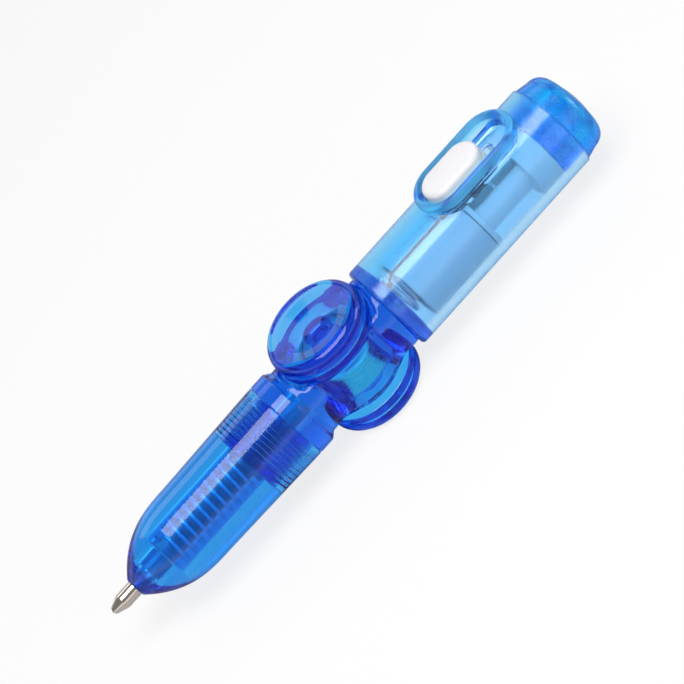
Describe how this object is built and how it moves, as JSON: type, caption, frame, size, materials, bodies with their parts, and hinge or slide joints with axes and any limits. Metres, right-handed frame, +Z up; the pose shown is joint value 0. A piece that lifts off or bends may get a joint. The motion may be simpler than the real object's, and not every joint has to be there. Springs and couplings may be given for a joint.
{
  "type": "spinner pen with torch",
  "caption": "Translucent spinner pen: a bearing hub held by round finger pads, with a screw-on writing end opposite a small slide-switch torch.",
  "frame": {"origin": "on the hub's axis, in the plane of the lower finger pad's outer face, which the pen lies on", "axes": "+X along the pen from the writing tip to the torch cap, +Z up the hub's axis, the torch switch facing +Z"},
  "size_m": [0.0884, 0.0142, 0.0161],
  "materials": {
    "clear_blue": "gloss",
    "mid_blue": "gloss",
    "deep_blue": "gloss",
    "barrel_blue": "gloss",
    "white_plastic": "satin",
    "pale_plastic": "satin",
    "refill_plastic": "satin",
    "blue_ink": "gloss",
    "grease": "satin",
    "lens_clear": "gloss",
    "bearing_steel": "polished",
    "spring_steel": "polished",
    "nickel": "polished",
    "cell_can": "polished",
    "carbide": "polished",
    "contact_steel": "satin",
    "brass": "satin",
    "copper": "satin"
  },
  "bodies": {
    "hub_pads": {"finger_pad_top": "deep_blue", "finger_pad_bottom": "deep_blue", "bearing_inner_race": "bearing_steel"},
    "ball_set": {"bearing_cage": "brass", "bearing_ball_1": "bearing_steel", "bearing_ball_2": "bearing_steel", "bearing_ball_3": "bearing_steel", "bearing_ball_4": "bearing_steel", "bearing_ball_5": "bearing_steel", "bearing_ball_6": "bearing_steel", "bearing_ball_7": "bearing_steel"},
    "pen": {"spinner_frame": "deep_blue", "bearing_outer_race": "bearing_steel", "bearing_shield_top": "bearing_steel", "bearing_shield_bottom": "bearing_steel", "refill_tube": "refill_plastic", "ink_column": "blue_ink", "ink_follower": "grease", "writing_tip": "nickel", "refill_spring": "spring_steel", "torch_barrel": "clear_blue", "battery_sleeve": "pale_plastic", "button_cell_1": "cell_can", "button_cell_2": "cell_can", "button_cell_3": "cell_can", "battery_spring": "spring_steel", "positive_plate": "brass", "led_holder": "pale_plastic", "led": "lens_clear", "led_anode_lead": "spring_steel", "led_cathode_lead": "spring_steel", "return_contact": "contact_steel", "lamp_contact": "contact_steel", "return_wire": "copper"},
    "barrel": {"front_barrel": "barrel_blue"},
    "cap": {"end_cap": "mid_blue"},
    "switch": {"switch_slider": "white_plastic", "switch_leaf": "contact_steel"},
    "point_ball": {"writing_ball": "carbide"}
  },
  "joints": [
    {"name": "spin", "type": "hinge", "parent": "hub_pads", "child": "pen", "pos_m": [0, 0, 0.008], "axis": [0, 0, 1], "continuous": true},
    {"name": "ball_set_spin", "type": "hinge", "parent": "hub_pads", "child": "ball_set", "pos_m": [0, 0, 0.008], "axis": [0, 0, 1], "continuous": true},
    {"name": "switch_slide", "type": "slide", "parent": "pen", "child": "switch", "axis": [1, 0, 0], "range_m": [0, 0.0042]},
    {"name": "barrel_off", "type": "slide", "parent": "pen", "child": "barrel", "axis": [-1, 0, 0], "range_m": [0, 0.036]},
    {"name": "cap_off", "type": "slide", "parent": "pen", "child": "cap", "axis": [1, 0, 0], "range_m": [0, 0.01]},
    {"name": "point_roll", "type": "hinge", "parent": "pen", "child": "point_ball", "pos_m": [-0.04386, 0, 0.008], "axis": [0, 1, 0], "continuous": true}
  ],
  "couplings": [
    {"joint": "ball_set_spin", "follows": "spin", "ratio": 0.6222}
  ]
}
